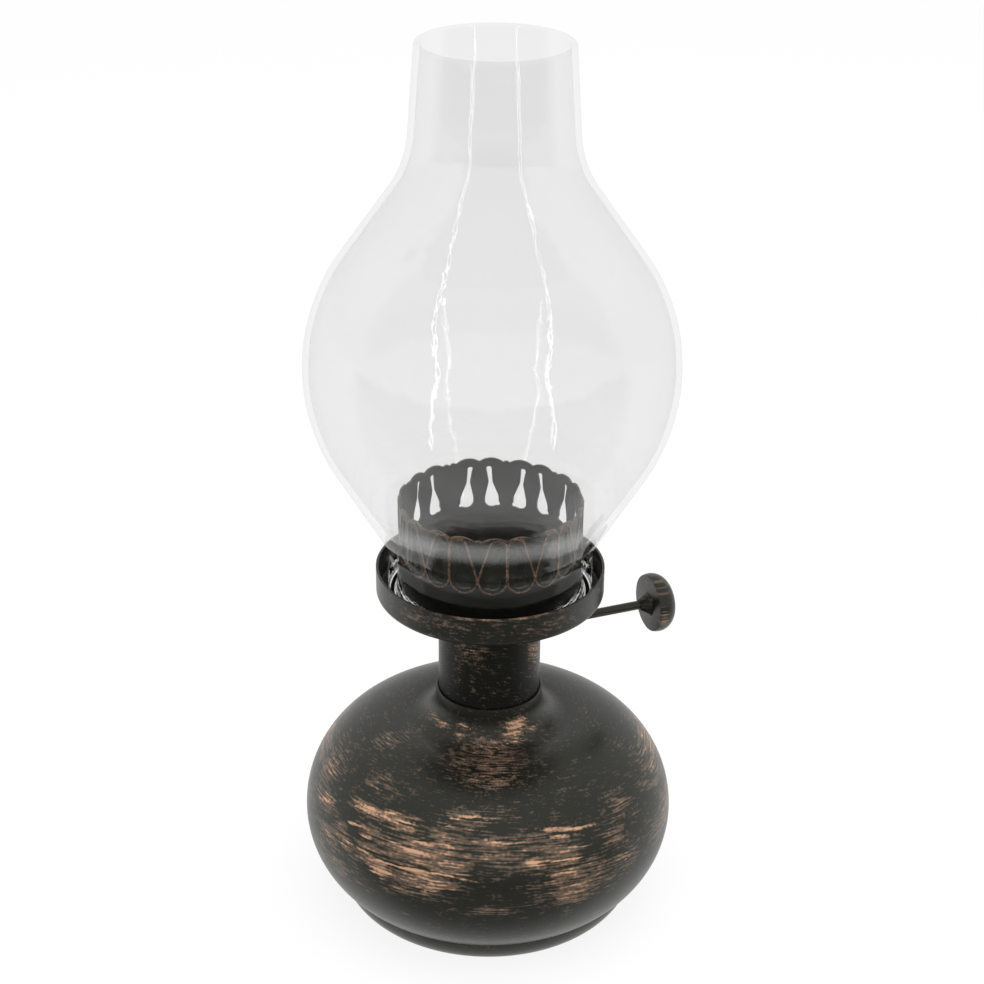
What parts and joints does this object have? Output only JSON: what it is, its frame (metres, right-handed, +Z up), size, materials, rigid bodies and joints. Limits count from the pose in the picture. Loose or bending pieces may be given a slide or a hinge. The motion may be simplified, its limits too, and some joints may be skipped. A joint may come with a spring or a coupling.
{
  "type": "tea light holder",
  "caption": "Tea light holder shaped like an old oil lamp: round metal body, neck tube, tray with pierced crown and candle pan, lift-off glass chimney, turning side knob.",
  "frame": {"origin": "on the lamp's axis, in the plane it stands on", "axes": "+Z up along the lamp's axis, +X along the knob's spindle, outwards"},
  "size_m": [0.1438, 0.14, 0.3309],
  "materials": {
    "aged_metal": "antique satin black-green, dry-brushed with copper",
    "crown_metal": "antique satin black with worn copper edges",
    "zinc_steel": "zinc plated",
    "clear_glass": "clear, fire-polished",
    "felt": "dark green felt"
  },
  "bodies": {
    "stand": {"felt_base": "felt", "base_pan": "aged_metal", "font_lower_shell": "aged_metal", "font_upper_shell": "aged_metal", "neck_tube": "aged_metal", "neck_cap": "aged_metal", "tray": "aged_metal", "candle_pan": "aged_metal", "crown": "crown_metal", "tie_bolt": "zinc_steel", "bolt_washer": "zinc_steel", "base_washer": "zinc_steel", "base_nut": "zinc_steel", "spindle_bush": "zinc_steel", "bush_nut": "zinc_steel"},
    "knob_spindle": {"spindle": "aged_metal", "spindle_clip": "zinc_steel", "knob": "aged_metal"},
    "glass": {"chimney": "clear_glass"}
  },
  "joints": [
    {"name": "knob_turn", "type": "hinge", "parent": "stand", "child": "knob_spindle", "pos_m": [0.02, 0, 0.10846], "axis": [1, 0, 0], "continuous": true},
    {"name": "chimney_lift", "type": "slide", "parent": "stand", "child": "glass", "axis": [0, 0, 1], "range_m": [0, 0.06]}
  ]
}
